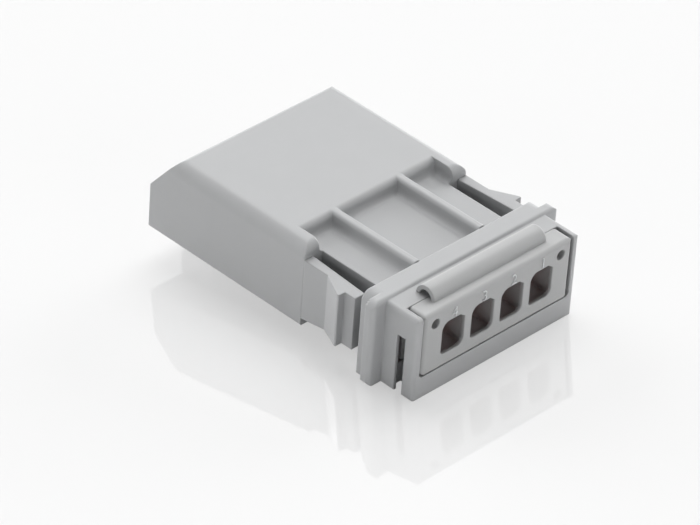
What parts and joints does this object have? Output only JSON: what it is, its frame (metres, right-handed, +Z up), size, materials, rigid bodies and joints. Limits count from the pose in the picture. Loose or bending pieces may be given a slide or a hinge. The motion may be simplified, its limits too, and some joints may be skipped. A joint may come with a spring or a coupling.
{
  "type": "sealed wire-to-wire connector housing",
  "caption": "Rectangular sealed wire-to-wire connector, hooded pin half with side panel latches, front retainer, mat seal and clip-on rear cover.",
  "frame": {"origin": "middle of the bounding box's bottom face, at the underside of the latch tunnel", "axes": "+X along the housing from the mating mouth to the wire end, +Y across it to the left latch arm, +Z up to the hood's top"},
  "size_m": [0.0228, 0.0156, 0.0079],
  "materials": {
    "housing_grey": "light neutral grey polyester, fine satin moulding",
    "cover_grey": "light neutral grey polyester, satin, a shade darker than the housing",
    "retainer_natural": "natural off-white polyester, satin",
    "seal_red_brown": "red-brown silicone rubber with a slight sheen"
  },
  "bodies": {
    "housing": {"housing": "housing_grey", "mat_seal": "seal_red_brown", "rear_cover": "cover_grey"},
    "left_arm": {"left_latch_arm": "housing_grey"},
    "right_arm": {"right_latch_arm": "housing_grey"},
    "retainer": {"front_retainer": "retainer_natural"}
  },
  "joints": [
    {"name": "left_arm_flex", "type": "hinge", "parent": "housing", "child": "left_arm", "pos_m": [0.00195, 0.00615, 0.0045], "axis": [0, 0, -1], "range_deg": [0, 8], "stiffness_Nm_per_rad": 0.18},
    {"name": "right_arm_flex", "type": "hinge", "parent": "housing", "child": "right_arm", "pos_m": [0.00195, -0.00615, 0.0045], "axis": [0, 0, 1], "range_deg": [0, 8], "stiffness_Nm_per_rad": 0.18},
    {"name": "retainer_lock", "type": "slide", "parent": "housing", "child": "retainer", "axis": [1, 0, 0], "range_m": [0, 0.0009]}
  ]
}
